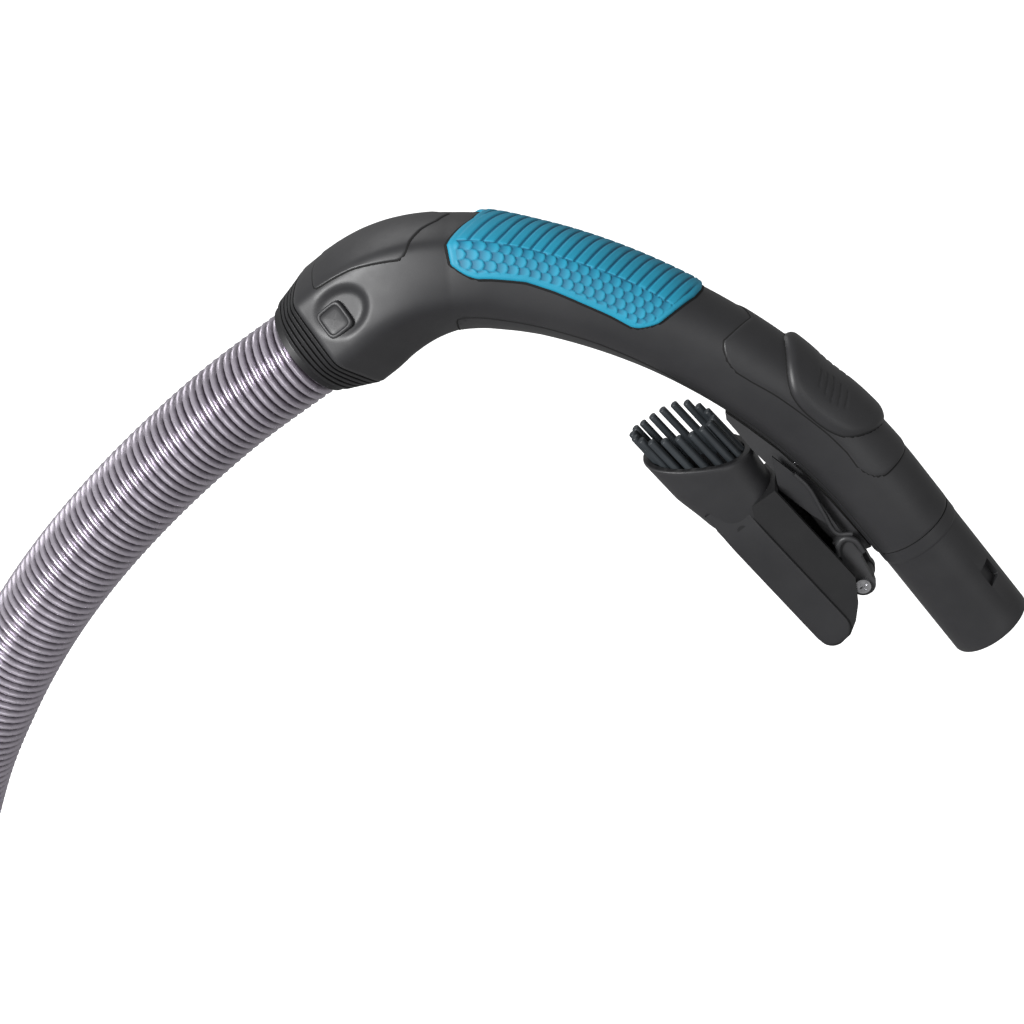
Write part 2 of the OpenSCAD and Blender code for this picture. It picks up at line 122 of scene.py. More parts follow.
def bend(s):
    """Angle that the axis has turned through by the distance s."""
    if s <= STRAIGHT:
        return 0.0
    if s <= GRIP_END:
        return (s - STRAIGHT) / GRIP_R
    return GRIP_A + min(s - GRIP_END, HEAD_START - GRIP_END) / HEAD_R


def axis_xz(s):
    """Axis point at the distance s, in x and z of the spigot's frame (mm)."""
    b = bend(s)
    if s <= STRAIGHT:
        return s, 0.0
    cx, cz = STRAIGHT, -GRIP_R
    if s <= GRIP_END:
        return cx + GRIP_R * math.sin(b), cz + GRIP_R * math.cos(b)
    cx += (GRIP_R - HEAD_R) * math.sin(GRIP_A)
    cz += (GRIP_R - HEAD_R) * math.cos(GRIP_A)
    past = max(0.0, s - HEAD_START)
    return (cx + HEAD_R * math.sin(b) + past * math.cos(b),
            cz + HEAD_R * math.cos(b) - past * math.sin(b))


def frame_at(s):
    """Matrix of the section at s, in metres: x along the axis, y near side, z outside the bend."""
    b = bend(s)
    x, z = axis_xz(s)
    along = row(math.cos(b), 0, -math.sin(b))
    near = row(0, 1, 0)
    out = row(math.sin(b), 0, math.cos(b))
    m = Matrix((along, near, out)).transposed().to_4x4()
    m.translation = row(x, 0, z) * MM
    return m


def skin_r(s, a):
    """Radius of the bare skin at distance s and angle a, in mm and degrees."""
    t = math.radians(a)
    m = lookup(s, FACET_MIX)
    w = lookup(s, HALF_WIDTH)
    h = lookup(s, TOP_HEIGHT if math.sin(t) > 0 else LOW_HEIGHT)
    oval = 1 / math.sqrt((math.cos(t) / w) ** 2 + (math.sin(t) / h) ** 2)
    if m == 0:
        return oval
    total = sum(max(0.0, math.cos(t - math.radians(f))) ** FACET_P / d ** FACET_P for f, d in FACETS)
    return (1 - m) * oval + m * lookup(s, HEAD_SCALE) * total ** (-1 / FACET_P)


def skin_pt(s, a, lift=0.0):
    t = math.radians(a)
    r = skin_r(s, a) + lift
    x, z = axis_xz(s)
    b = bend(s)
    up = r * math.sin(t)
    return row(x + up * math.sin(b), r * math.cos(t), z + up * math.cos(b)) * MM


# ---- materials

def node(tree, kind, **sockets):
    n = tree.nodes.new(kind)
    for name, value in sockets.items():
        n.inputs[name.replace("_", " ")].default_value = value
    return n


def base_material(name):
    m = bpy.data.materials.new(name)
    m.use_nodes = True
    tree = m.node_tree
    shader = tree.nodes["Principled BSDF"]
    where = tree.nodes.new("ShaderNodeTexCoord")
    return m, tree, shader, where.outputs["Object"]


def noise(tree, where, scale, detail=3.0, rough=0.55):
    n = node(tree, "ShaderNodeTexNoise", Scale=scale, Detail=detail, Roughness=rough)
    tree.links.new(where, n.inputs["Vector"])
    return n.outputs["Fac"]


def ramp(tree, value, stops):
    n = tree.nodes.new("ShaderNodeValToRGB")
    band = n.color_ramp
    while len(band.elements) < len(stops):
        band.elements.new(0.5)
    for e, (at, colour) in zip(band.elements, stops):
        e.position = at
        e.color = (*colour, 1)
    tree.links.new(value, n.inputs["Fac"])
    return n.outputs["Color"]


def spread(tree, value, lo, hi):
    n = node(tree, "ShaderNodeMapRange", To_Min=lo, To_Max=hi)
    tree.links.new(value, n.inputs["Value"])
    return n.outputs["Result"]


def bump(tree, shader, height, strength, distance):
    n = node(tree, "ShaderNodeBump", Strength=strength, Distance=distance)
    tree.links.new(height, n.inputs["Height"])
    tree.links.new(n.outputs["Normal"], shader.inputs["Normal"])


def moulded(name, dark, light, rough=(0.38, 0.5), grain=2600.0, depth=0.00004, worn=0.0):
    """Moulded plastic: fine spark-eroded grain, faint colour drift, edges worn a little lighter."""
    m, tree, shader, where = base_material(name)
    drift = noise(tree, where, 35.0, 4.0)
    colour = ramp(tree, drift, [(0.3, dark), (0.7, light)])
    edge = tree.nodes.new("ShaderNodeNewGeometry").outputs["Pointiness"]
    wear = ramp(tree, edge, [(0.5, (0, 0, 0)), (0.62, (worn,) * 3)])
    add = tree.nodes.new("ShaderNodeMix")
    add.data_type = "RGBA"
    add.blend_type = "ADD"
    add.inputs["Factor"].default_value = 1.0
    tree.links.new(colour, add.inputs["A"])
    tree.links.new(wear, add.inputs["B"])
    tree.links.new(add.outputs["Result"], shader.inputs["Base Color"])
    tree.links.new(spread(tree, noise(tree, where, 180.0), *rough), shader.inputs["Roughness"])
    bump(tree, shader, noise(tree, where, grain, 2.0), 0.35, depth)
    return m


def relief_material(name, low, high, rough, metallic=0.0, grain=1800.0, edge=(0.25, 0.75)):
    """Colour that follows the piece's own relief, kept in its 'relief' attribute: painted shade where the
    relief is low, painted highlight where it is high.
    """
    m, tree, shader, where = base_material(name)
    attribute = tree.nodes.new("ShaderNodeAttribute")
    attribute.attribute_name = "relief"
    colour = ramp(tree, attribute.outputs["Fac"], [(edge[0], low), (edge[1], high)])
    tint = ramp(tree, noise(tree, where, 60.0, 4.0), [(0.3, (0.9,) * 3), (0.7, (1.06,) * 3)])
    times = tree.nodes.new("ShaderNodeMix")
    times.data_type = "RGBA"
    times.blend_type = "MULTIPLY"
    times.inputs["Factor"].default_value = 1.0
    tree.links.new(colour, times.inputs["A"])
    tree.links.new(tint, times.inputs["B"])
    tree.links.new(times.outputs["Result"], shader.inputs["Base Color"])
    tree.links.new(spread(tree, noise(tree, where, 140.0), *rough), shader.inputs["Roughness"])
    shader.inputs["Metallic"].default_value = metallic
    bump(tree, shader, noise(tree, where, grain, 2.0), 0.3, 0.00004)
    return m


def brushed_steel():
    """Bare steel with fine streaks of roughness."""
    m, tree, shader, where = base_material("steel")
    tint = ramp(tree, noise(tree, where, 500.0), [(0.3, (0.5, 0.5, 0.52)), (0.7, (0.8, 0.8, 0.82))])
    tree.links.new(tint, shader.inputs["Base Color"])
    shader.inputs["Metallic"].default_value = 1.0
    tree.links.new(spread(tree, noise(tree, where, 900.0), 0.18, 0.35), shader.inputs["Roughness"])
    bump(tree, shader, noise(tree, where, 3000.0), 0.2, 0.00003)
    return m


DARK = moulded("dark_plastic", (0.022, 0.022, 0.024), (0.03, 0.03, 0.032), worn=0.02)
BLACK = moulded("black_plastic", (0.01, 0.01, 0.011), (0.015, 0.015, 0.016), rough=(0.4, 0.55))
SEAM = moulded("seam_shadow", (0.002, 0.002, 0.002), (0.004, 0.004, 0.004), rough=(0.8, 0.9))
# SHADE: a darker copy of the dark plastic, for the brush body's recessed side: painted shade
SHADE = moulded("recess_shade_plastic", (0.014, 0.014, 0.015), (0.019, 0.019, 0.02))
RUBBER = moulded("seal_rubber", (0.008, 0.008, 0.008), (0.013, 0.013, 0.013), rough=(0.65, 0.8))
BRISTLE = moulded("bristle", (0.02, 0.024, 0.028), (0.035, 0.042, 0.048), rough=(0.42, 0.6))
# pad blue darker where its relief is low: painted shade in the grooves and at the low ends of the scales
BLUE = relief_material("soft_blue", (0.004, 0.12, 0.22), (0.012, 0.29, 0.45), (0.5, 0.65))
# hose colour from near black in the valleys to pale silver on the crests: painted shade and painted highlight
SILVER = relief_material("hose_silver", (0.035, 0.026, 0.038), (0.6, 0.555, 0.63), (0.22, 0.32),
                         metallic=0.7, edge=(0.12, 0.7))
STEEL = brushed_steel()


# ---- pieces

def piece(name, verts, faces, material, body="root", replaced=(), relief=None):
    mesh = bpy.data.meshes.new(name)
    mesh.from_pydata([tuple(v) for v in verts], [], faces)
    mesh.validate()
    mesh.polygons.foreach_set("use_smooth", [True] * len(mesh.polygons))
    mesh.materials.append(material)
    if relief is not None:
        mesh.attributes.new("relief", "FLOAT", "POINT").data.foreach_set("value", relief)
    mesh.update()
    obj = bpy.data.objects.new(name, mesh)
    bpy.context.scene.collection.objects.link(obj)
    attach(obj, body)
    if replaced:
        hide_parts(*replaced)
    return obj


def sew(rings, closed=False, flip=False):
    """Quads between rings of equal point counts."""
    n = len(rings[0])
    faces = []
    for i in range(len(rings) - 1):
        for j in range(n if closed else n - 1):
            k = (j + 1) % n
            quad = (i * n + j, i * n + k, (i + 1) * n + k, (i + 1) * n + j)
            faces.append(quad[::-1] if flip else quad)
    return [p for ring in rings for p in ring], faces


def bevel(obj, width, segments=3, angle=35):
    m = obj.modifiers.new("rounded edges", "BEVEL")
    m.width = width * MM
    m.segments = segments
    m.limit_method = "ANGLE"
    m.angle_limit = math.radians(angle)
    return obj


def turned(name, place, profile, material, sides=72):
    """Ring of revolution about the x axis of the matrix place, from (x, r) points in mm."""
    rings = [[place @ Vector((x * MM, r * math.cos(TAU * j / sides) * MM, r * math.sin(TAU * j / sides) * MM))
              for j in range(sides)] for x, r in profile]
    verts, faces = sew(rings, closed=True)
    piece(name, verts, faces, material)


def sweep(name, points, radius, material, sides=8):
    """Thin bead of that radius (mm) along points in metres."""
    rings = []
    count = len(points)
    for i, p in enumerate(points):
        d = (points[min(i + 1, count - 1)] - points[max(i - 1, 0)]).normalized()
        u = d.cross(Vector((0.3, 0.5, 0.81))).normalized()
        v = d.cross(u)
        rings.append([p + (u * math.cos(TAU * k / sides) + v * math.sin(TAU * k / sides)) * radius * MM
                      for k in range(sides)])
    verts, faces = sew(rings, closed=True)
    piece(name, verts, faces, material)


# ---- camera, lights and floor

CAMERA_DISTANCE = 1.2
VIEW_WIDTH = 0.4403
SENSOR = 36.0


def make_camera():
    azimuth, elevation = math.radians(5), math.radians(30)
    right = Vector((math.cos(azimuth), math.sin(azimuth), 0))
    back = Vector((math.sin(azimuth) * math.cos(elevation), -math.cos(azimuth) * math.cos(elevation),
                   math.sin(elevation)))
    up = back.cross(right)
    data = bpy.data.cameras.new("camera")
    data.sensor_width = SENSOR
    data.lens = SENSOR * CAMERA_DISTANCE / VIEW_WIDTH
    obj = bpy.data.objects.new("camera", data)
    bpy.context.scene.collection.objects.link(obj)
    turn = Matrix((right, up, back)).transposed().to_4x4()
    turn.translation = right * -0.2056 + up * 0.0475 + back * CAMERA_DISTANCE
    obj.matrix_world = turn
    bpy.context.scene.camera = obj


def area_light(name, place, target, size, power):
    data = bpy.data.lights.new(name, "AREA")
    data.shape = "DISK"
    data.size = size
    data.energy = power
    obj = bpy.data.objects.new(name, data)
    bpy.context.scene.collection.objects.link(obj)
    obj.location = place
    obj.rotation_mode = "QUATERNION"
    obj.rotation_quaternion = (Vector(target) - Vector(place)).to_track_quat("-Z", "Y")


def studio():
    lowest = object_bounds()[0].z
    middle = (-0.2, 0, 0)
    area_light("key", (-1.1, -1.25, 0.75), middle, 0.6, 34)
    area_light("fill", (0.9, -1.4, 0.6), middle, 1.2, 4)
    area_light("back", (-0.9, 1.1, 1.2), middle, 0.8, 4)
    world = bpy.data.worlds.new("studio")
    world.use_nodes = True
    world.node_tree.nodes["Background"].inputs["Color"].default_value = (1, 1, 1, 1)
    world.node_tree.nodes["Background"].inputs["Strength"].default_value = 0.3
    bpy.context.scene.world = world
    bpy.context.scene.view_settings.view_transform = "Standard"
    half = 4.0
    z = lowest - 0.002
    mesh = bpy.data.meshes.new("floor")
    mesh.from_pydata([(-half, -half, z), (half, -half, z), (half, half, z), (-half, half, z)], [],
                     [(0, 1, 2, 3)])
    floor = bpy.data.objects.new("floor", mesh)
    bpy.context.scene.collection.objects.link(floor)
    m, tree, shader, where = base_material("pale_floor")
    tint = ramp(tree, noise(tree, where, 4.0), [(0.3, (0.93,) * 3), (0.7, (0.95,) * 3)])
    tree.links.new(tint, shader.inputs["Base Color"])
    shader.inputs["Roughness"].default_value = 0.9
    shader.inputs["Emission Color"].default_value = (1, 1, 1, 1)
    shader.inputs["Emission Strength"].default_value = 0.8
    mesh.materials.append(m)
    floor.visible_diffuse = False
    floor.visible_glossy = False
    floor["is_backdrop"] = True


# ---- hose, repeated from the CAD route (mm)

HOSE_D = 40
RIB_PITCH = 3.95
RIB_DEPTH = 2.3
RUN = [(-322, 0, 93), (-348, 0, 68), (-372, 0, 42), (-394, 0, 15), (-413, 0, -12), (-429, 0, -39),
       (-443, 0, -67), (-455, 0, -95), (-464, -1, -123), (-471, -7, -151), (-476, -19, -180),
       (-479, -39, -209), (-480, -65, -237), (-480, -98, -262), (-480, -134, -280),
       (-480, -168, -288), (-480, -200, -290)]
LOOP_R = 200
LOOP_CENTRE = Vector((-280, -200, -290))
LOOP_TURN = 290
HOSE_AT = COLLAR_AT + COLLAR_LEN + 3


def spline(points, per_span):
    """Smooth line through the points (Catmull-Rom), with per_span points for each span."""
    ends = [points[0] * 2 - points[1]] + points + [points[-1] * 2 - points[-2]]
    line = []
    for i in range(1, len(ends) - 2):
        a, b, c, d = ends[i - 1:i + 3]
        for k in range(per_span):
            t = k / per_span
            line.append(0.5 * (2 * b + (c - a) * t + (2 * a - 5 * b + 4 * c - d) * t ** 2
                               + (3 * b - a - 3 * c + d) * t ** 3))
    return line + [points[-1]]


def resample(line, gap):
    """The line's points at an even spacing close to gap."""
    far = [0.0]
    for a, b in zip(line, line[1:]):
        far.append(far[-1] + (b - a).length)
    count = round(far[-1] / gap)
    points, i = [], 0
    for k in range(count + 1):
        want = far[-1] * k / count
        while i < len(line) - 2 and far[i + 1] < want:
            i += 1
        t = (want - far[i]) / (far[i + 1] - far[i])
        points.append(line[i].lerp(line[i + 1], t))
    return points, far[-1]


def hose_route():
    start = frame_at(HOSE_AT).translation / MM
    turn = math.radians(180)
    loop = []
    for k in range(1, LOOP_TURN // 5 + 1):
        a = turn + math.radians(5 * k)
        loop.append(LOOP_CENTRE + LOOP_R * Vector((math.cos(a), math.sin(a), 0)))
    points = [start] + [Vector(p) for p in RUN] + loop
    return [p * MM for p in spline(points, 12)]


def make_hose():
    rings_per_rib, sides = 8, 28
    points, length = resample(hose_route(), RIB_PITCH * MM / rings_per_rib)
    u = Vector((0, 1, 0))
    rings, relief = [], []
    for i, p in enumerate(points):
        d = (points[min(i + 1, len(points) - 1)] - points[max(i - 1, 0)]).normalized()
        u = (u - d * u.dot(d)).normalized()
        v = d.cross(u)
        ring = []
        for j in range(sides):
            a = TAU * j / sides
            # one start of a helical rib, a round crest and a narrow valley
            t = (i / rings_per_rib + j / sides) % 1 * 2 - 1
            crest = (0.5 + 0.5 * math.cos(math.pi * t)) ** 0.7
            r = HOSE_D / 2 - RIB_DEPTH * (1 - crest)
            ring.append(p + (u * math.cos(a) + v * math.sin(a)) * r * MM)
            # the crest value also sets the colour: painted highlight on each crest, painted shade in each
            # valley
            relief.append(crest)
        rings.append(ring)
    verts, faces = sew(rings, closed=True)
    hose = piece("ribbed_hose", verts, faces, SILVER, "swivel", ("hose", "hose_coil"), relief)
    return hose, points[::rings_per_rib] + [points[-1]], length


def dress(name, material, width=0.0):
    """Material and, if a width is given (mm), rounded edges for a CAD node that keeps its shape."""
    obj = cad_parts[name]
    obj.data.materials.clear()
    obj.data.materials.append(material)
    if width:
        bevel(obj, width)
    return obj


# ---- skin panels

def around(a):
    """Angle from the near side, folded so that the far side mirrors it."""
    return a if a <= 90 else 180 - a


def mesh_steps(length, fine, coarse, edge):
    """Fractions of a length with fine steps within edge of each end."""
    near = [k * fine for k in range(int(edge / fine) + 1)]
    count = max(2, round((length - 2 * near[-1]) / coarse))
    middle = [near[-1] + (length - 2 * near[-1]) * k / count for k in range(1, count)]
    return [t / length for t in near + middle + [length - t for t in reversed(near)]]


def panel(name, low, wand_end, hose_end, height, material, slot, detail=None, grow=0.0, edge=1.2,
          corner=5.0, coarse=1.0, fine=0.3, body="root", replaced=(), sink=0.5, relief=False):
    """Raised panel of the skin about its top. low(s) is its lower angle, wand_end(a) and
    hose_end(a) its ends, detail(s, a, inside) an extra lift. Mirrored on the far side."""
    mid = (wand_end(50) + hose_end(50)) / 2
    length = hose_end(50) - wand_end(50) + 2 * grow
    wide = 2 * math.radians(90 - low(mid)) * skin_r(mid, 45) + 2 * grow
    us = mesh_steps(length, fine, coarse, edge)
    vs = mesh_steps(wide, fine, coarse, edge)
    rings, marks = [], []
    for u in us:
        ring = []
        for w in vs:
            v = 2 * w - 1
            s = mid
            for _ in range(4):
                half = 90 - low(s) + math.degrees(grow / skin_r(s, low(s)))
                a = 90 + v * half
                s0, s1 = wand_end(a) - grow, hose_end(a) + grow
                s = mix(s0, s1, u)
            dx = min(u, 1 - u) * (s1 - s0)
            dy = (1 - abs(v)) * math.radians(half) * skin_r(s, a)
            inside = min(dx, dy)
            if dx < corner and dy < corner:
                inside = corner - math.hypot(corner - dx, corner - dy)
            k = min(1.0, max(0.0, inside / edge))
            lift = -sink if inside <= 0 else mix(0.0, height, math.sqrt(1 - (1 - k) ** 2))
            extra = detail(s, a, inside) if detail else (0.0, 1.0)
            ring.append(skin_pt(s, a, lift + extra[0]))
            marks.append(extra[1])
        rings.append(ring)
    verts, faces = sew(rings)
    piece(name, verts, faces, material, body, replaced, marks if relief else None)


BUTTON_AT = COLLAR_AT - 11.5
BUTTON_A = 21


def button_scoop(s, a):
    """Scooped recess about the release button on each side of the head."""
    p = s - BUTTON_AT
    q = math.radians(around(a) - BUTTON_A) * skin_r(s, a)
    reach = math.hypot((p + 3.5) / 12.5, (q - 1) / 11)
    if reach >= 1:
        return 0.0
    return -mix(2.1, 0.8, step(-12, 8, p)) * step(0, 0.32, 1 - reach)


def make_shell():
    """Handle skin: the two halves and their hidden joint along the underside."""
    rings = []
    sides = 180
    count = round((COLLAR_AT - SPIGOT_LEN) / 1.1)
    s_wand, s_collar = SPIGOT_LEN + 0.3, COLLAR_AT - 0.2
    # full turn of angles that breaks low on the far side, away from both scoops
    angles = [360 * j / sides for j in range(sides)]
    angles = [a if a <= 220 else a - 360 for a in angles]
    for i in range(count + 1):
        s = mix(s_wand, s_collar, i / count)
        ends = 0.7 * (1 - step(0, 1.2, s - s_wand)) + 0.5 * step(-0.9, 0, s - COLLAR_AT)
        rings.append([skin_pt(s, a, button_scoop(s, a) - ends) for a in angles])
    mouth = [[skin_pt(s_wand, a, -2) for a in angles]]
    back = [[skin_pt(s_collar, a, -4) for a in angles]]
    verts, faces = sew(mouth + rings + back, closed=True)
    piece("handle_shell", verts, faces, DARK, "root", ("upper_shell",))


def make_strip():
    """Underside strip, a separate moulding let into the shell with a rounded end."""
    s_end, s_wand, corner = 290, SPIGOT_LEN + 1, 9
    steps = mesh_steps(s_end - s_wand, 0.3, 1.5, 1.2)
    across = mesh_steps(40, 0.3, 1.2, 1.2)
    rings = []
    for u in steps:
        s = mix(s_wand, s_end, u)
        ring = []
        for w in across:
            v = 2 * w - 1
            half = 90 + lookup(s, STRIP_EDGE)
            a = -90 + v * half
            dy = (1 - abs(v)) * math.radians(half) * skin_r(s, a)
            dx = min(s_end - s, s - s_wand)
            inside = min(dx, dy)
            if s_end - s < corner and dy < corner:
                inside = min(inside, corner - math.hypot(corner - (s_end - s), corner - dy))
            k = min(1.0, max(0.0, inside / 0.9))
            ring.append(skin_pt(s, a, -0.5 if inside <= 0 else 0.25 * math.sqrt(1 - (1 - k) ** 2)))
        rings.append(ring)
    verts, faces = sew(rings)
    piece("underside_strip", verts, faces, DARK, "root", ("lower_shell",))


def seam(name, pairs, radius=0.4, lift=-0.12):
    """Dark joint line along (distance, angle) pairs."""
    line = []
    for (s0, a0), (s1, a1) in zip(pairs, pairs[1:]):
        n = max(2, int(math.hypot(s1 - s0, (a1 - a0) * 0.4) / 0.8))
        line += [skin_pt(mix(s0, s1, k / n), mix(a0, a1, k / n), lift) for k in range(n)]
    line.append(skin_pt(*pairs[-1], lift))
    sweep(name, line, radius, SEAM)


def strip_seams():
    low = [(290, -42), (290.6, -60), (290.8, -90), (290.6, -120), (290, -138)]
    near = [(s, a) for s, a in STRIP_EDGE[:-1]] + [(285, -33), (289, -36)]
    far = [(s, -180 - a) for s, a in reversed(near)]
    seam("strip_seam", near + low + far)


RIB_PITCH_PAD = 4.2
RIB_SLANT = math.tan(math.radians(21))
SCALE_PITCH = 4.3
LANE = 3.55
SCALE_R = 2.3


def pad_detail(s, a, inside):
    """Slanted ribs on top of the pad, lanes of round scales on its sides, a smooth border. The second value
    is a colour mark, low in the grooves and at the low ends of the scales: painted shade.
    """
    t = around(a)
    border = step(2.2, 3.0, inside)
    ridge = lookup(s, PAD_RIDGE)
    r = skin_r(s, t)
    up = math.radians(t - ridge) * r
    if up > 0:
        across = math.radians(90 - a) * r
        phase = ((s - across * RIB_SLANT) / RIB_PITCH_PAD) % 1
        rib = step(0, 0.16, phase) * (1 - step(0.72, 1.0, phase))
        shape = rib * step(0, 0.5, up)
        return border * (0.75 * shape - 0.35), mix(1, shape, border)
    # overlapping scales: the highest of the discs that reach this point
    best = 0.0
    lane = -up / LANE
    for k in (math.floor(lane) - 1, math.floor(lane), math.floor(lane) + 1):
        along = s / SCALE_PITCH + (0.5 if k % 2 else 0.0)
        for c in (math.floor(along), math.floor(along) + 1):
            du = (along - c) * SCALE_PITCH
            dv = (lane - k - 0.5) * LANE
            d = math.hypot(du * 0.95, dv)
            if d < SCALE_R:
                tilt = mix(0.15, 1.0, (SCALE_R - du) / (2 * SCALE_R))
                best = max(best, tilt * step(0, 0.35, SCALE_R - d))
    return border * (0.7 * best - 0.35), mix(1, best, border)


def make_pad():
    low = lambda s: lookup(s, PAD_LOW)
    ends = (lambda a: lookup(a, PAD_WAND_END), lambda a: lookup(a, PAD_HOSE_END))
    panel("pad_gap", low, *ends, 0.2, SEAM, "black_plastic", grow=1.1, edge=0.4, corner=8.0)
    # the pad's colour follows its relief marks: painted shade in the grooves and at the low ends of the
    # scales
    panel("grip_pad_soft", low, *ends, 1.5, BLUE, "soft_blue", detail=pad_detail, edge=1.6, corner=7.0,
          coarse=0.36, fine=0.3, replaced=("grip_pad",), relief=True)


def make_cover():
    low = lambda s: lookup(s, COVER_LOW)
    grip_end = lambda a: lookup(a, COVER_GRIP_END)
    hose_end = lambda a: 337 - abs(84 - around(a)) * 0.05
    panel("cover_gap", low, grip_end, hose_end, 0.2, SEAM, "black_plastic", grow=0.55, edge=0.3,
          corner=1.5, fine=0.15)
    panel("head_cover", low, grip_end, hose_end, 0.42, DARK, "dark_plastic", edge=0.8, corner=1.5,
          replaced=("top_cover",), fine=0.2)


# ---- suction slider

PLATE_WAND_END = [(0, 99), (9, 99), (17, 94.5), (32, 93), (75, 91.7), (90, 91.5)]
PLATE_HOSE_END = [(0, 175.5), (11, 175.6), (17, 177.6), (35, 180.4), (75, 175), (90, 173)]
PLATE_RISE = 0.6
KNOB_AT, KNOB_HALF = 132, 26.5
KNOB_RISE = 3.0


def knob_detail(s, a, inside):
    """Thumb dish with short slanted grip marks on each side of it."""
    p = s - KNOB_AT - 3
    q = math.radians(90 - a) * skin_r(s, a)
    dish = -1.5 * math.exp(-((p / 11) ** 2 + (q / 13) ** 2) * 1.4)
    mark = 0.0
    for k in range(-2, 3):
        centre = KNOB_AT + 1 + 3.4 * k
        reach = 6 - 0.9 * abs(k)
        for side in (1, -1):
            other = math.radians((a if side > 0 else 180 - a) - 60) * skin_r(s, a)
            if abs(other) < reach:
                mark = max(mark, math.exp(-((s - centre - 0.25 * other) / 0.42) ** 2)
                           * step(0, 1.2, reach - abs(other)))
    return dish - 0.45 * mark, 1.0


def make_slider():
    low = lambda s: lookup(s, PLATE_LOW)
    ends = (lambda a: lookup(around(a), PLATE_WAND_END), lambda a: lookup(around(a), PLATE_HOSE_END))
    panel("plate_gap", low, *ends, 0.22, SEAM, "black_plastic", grow=0.6, edge=0.4, corner=8.0)
    panel("slider_base", low, *ends, PLATE_RISE, DARK, "dark_plastic", edge=2.2, corner=8.0, fine=0.3,
          replaced=("slider_plate",))
    knob_low = lambda s: 17 + 38 * (abs(s - KNOB_AT) / KNOB_HALF) ** 2.5
    knob_ends = (lambda a: KNOB_AT - KNOB_HALF, lambda a: KNOB_AT + KNOB_HALF)
    rise = PLATE_RISE + KNOB_RISE
    panel("knob_gap", knob_low, *knob_ends, PLATE_RISE + 0.3, SEAM, "black_plastic", grow=0.5, edge=0.5,
          corner=14.0, body="slider")
    panel("slider_knob", knob_low, *knob_ends, rise, DARK, "dark_plastic", detail=knob_detail, edge=5.2,
          corner=14.0, coarse=0.6, fine=0.4, body="slider", replaced=("air_slider",))
    for name, material in (("slider_shutter", BLACK), ("slider_detent", STEEL)):
        dress(name, material, 0.1)


# ---- hose end of the handle

def make_collar():
    ribs, sides = 5, 144
    tip_r = 23.4
    rings = []
    count = 120
    base = frame_at(COLLAR_AT)
    for i in range(count + 1):
        t = i / count
        phase = (t * ribs) % 1
        groove = 1.5 * (1 - step(0.0, 0.22, phase)) + 1.5 * step(0.78, 1.0, phase)
        ring = []
        for j in range(sides):
            a = 360 * j / sides
            r = mix(skin_r(COLLAR_AT, a), tip_r, t) - 0.2 - groove * (0.3 if i in (0, count) else 1)
            ring.append(base @ Vector((COLLAR_LEN * t * MM, r * math.cos(math.radians(a)) * MM,
                                       r * math.sin(math.radians(a)) * MM)))
        rings.append(ring)
    inner = [base @ Vector((COLLAR_LEN * MM, 20.1 * math.cos(TAU * j / sides) * MM,
                            20.1 * math.sin(TAU * j / sides) * MM)) for j in range(sides)]
    verts, faces = sew(rings + [inner], closed=True)
    piece("ribbed_collar", verts, faces, BLACK, "root", ("end_collar",))


def make_button(side):
    """Release button: a rounded square with a raised rim and a shallow finger dish."""
    name = "hose_button_near" if side > 0 else "hose_button_far"
    body = "button_near" if side > 0 else "button_far"
    tilt = math.radians(BUTTON_A)
    base = frame_at(BUTTON_AT)
    out = (base.to_3x3() @ Vector((0, side * math.cos(tilt), math.sin(tilt)))).normalized()
    along = base.to_3x3() @ Vector((1, 0, 0))
    over = out.cross(along)
    origin = base.translation
    top = max((v.co - origin).dot(out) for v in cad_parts[name].data.vertices)
    # size of the outline against its half width, and depth below the top (mm)
    profile = [(1, 4), (1, 0.9), (0.985, 0.45), (0.95, 0.15), (0.9, 0), (0.82, 0), (0.78, 0.12),
               (0.76, 0.45), (0.72, 0.6), (0.5, 0.75), (0.25, 0.82), (0.02, 0.84)]
    half, sides = 6.4, 64
    rings = []
    for scale, depth in profile:
        ring = []
        for j in range(sides):
            a = TAU * j / sides
            c, s = math.cos(a), math.sin(a)
            r = half * scale / (abs(c) ** 5 + abs(s) ** 5) ** 0.2
            ring.append(origin + along * r * c * MM + over * r * s * MM + out * (top - depth * MM))
        rings.append(ring)
    verts, faces = sew(rings, closed=True)
    piece(name + "_cap", verts, faces, DARK, body, (name,))


WINDOW_A, WINDOW_FROM, WINDOW_TO = 64, 21, 30


